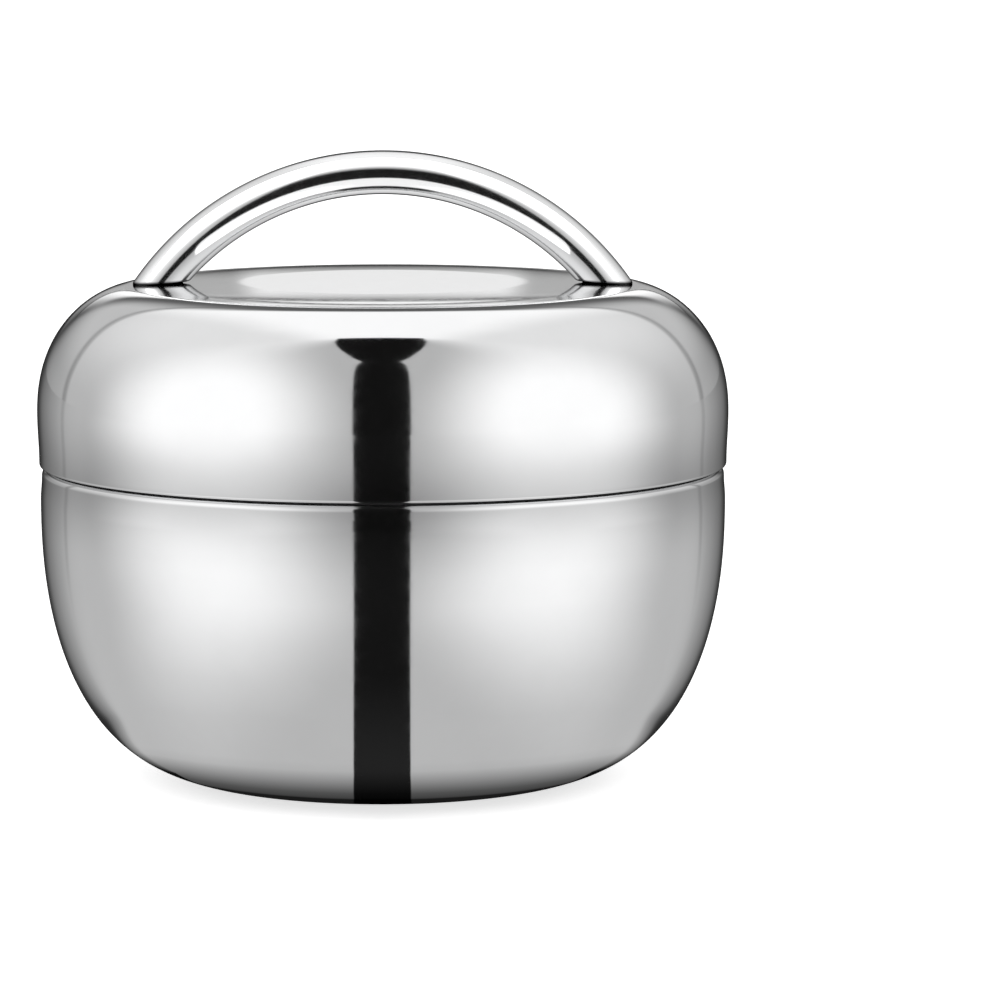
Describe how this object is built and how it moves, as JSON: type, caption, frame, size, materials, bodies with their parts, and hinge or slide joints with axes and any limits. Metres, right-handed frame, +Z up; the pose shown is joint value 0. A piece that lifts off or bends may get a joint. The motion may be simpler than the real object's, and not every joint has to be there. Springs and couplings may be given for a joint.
{
  "type": "lunch box",
  "caption": "Round polished steel lunch box with a domed lid, an arched tube handle and a removable lidded food bowl inside.",
  "frame": {"origin": "centre of the base, on the surface that the box stands on", "axes": "+Z up along the axis that the box is round about; the handle's arch lies in the XZ plane, so +Y looks through it"},
  "size_m": [0.14, 0.14, 0.1283],
  "materials": {
    "polished_steel": "polished",
    "bowl_steel": "satin",
    "fastener_steel": "satin",
    "liner_plastic": "satin",
    "collar_plastic": "satin",
    "lid_plastic": "satin",
    "silicone": "matte",
    "vent_silicone": "matte",
    "gasket_rubber": "matte",
    "foam": "matte"
  },
  "bodies": {
    "body": {"body_shell": "polished_steel", "body_insulation": "foam", "body_liner": "liner_plastic", "rim_collar": "collar_plastic", "collar_gasket": "gasket_rubber"},
    "bowl": {"inner_bowl": "bowl_steel"},
    "bowl_lid": {"inner_lid": "lid_plastic", "inner_lid_seal": "silicone"},
    "vent": {"vent_plug": "vent_silicone"},
    "lid": {"lid_shell": "polished_steel", "lid_insulation": "foam", "lid_liner": "liner_plastic", "lid_seal": "silicone", "handle_tube": "polished_steel", "handle_plugs": "fastener_steel", "handle_washers": "fastener_steel", "handle_lock_rings": "fastener_steel", "handle_screws": "fastener_steel"}
  },
  "joints": [
    {"name": "bowl_lift", "type": "slide", "parent": "body", "child": "bowl", "axis": [0, 0, 1], "range_m": [0, 0.07]},
    {"name": "bowl_lid_lift", "type": "slide", "parent": "bowl", "child": "bowl_lid", "axis": [0, 0, 1], "range_m": [0, 0.03]},
    {"name": "vent_pull", "type": "slide", "parent": "bowl_lid", "child": "vent", "axis": [0, 0, 1], "range_m": [0, 0.003]},
    {"name": "lid_lift", "type": "slide", "parent": "bowl_lid", "child": "lid", "axis": [0, 0, 1], "range_m": [0, 0.08]}
  ]
}
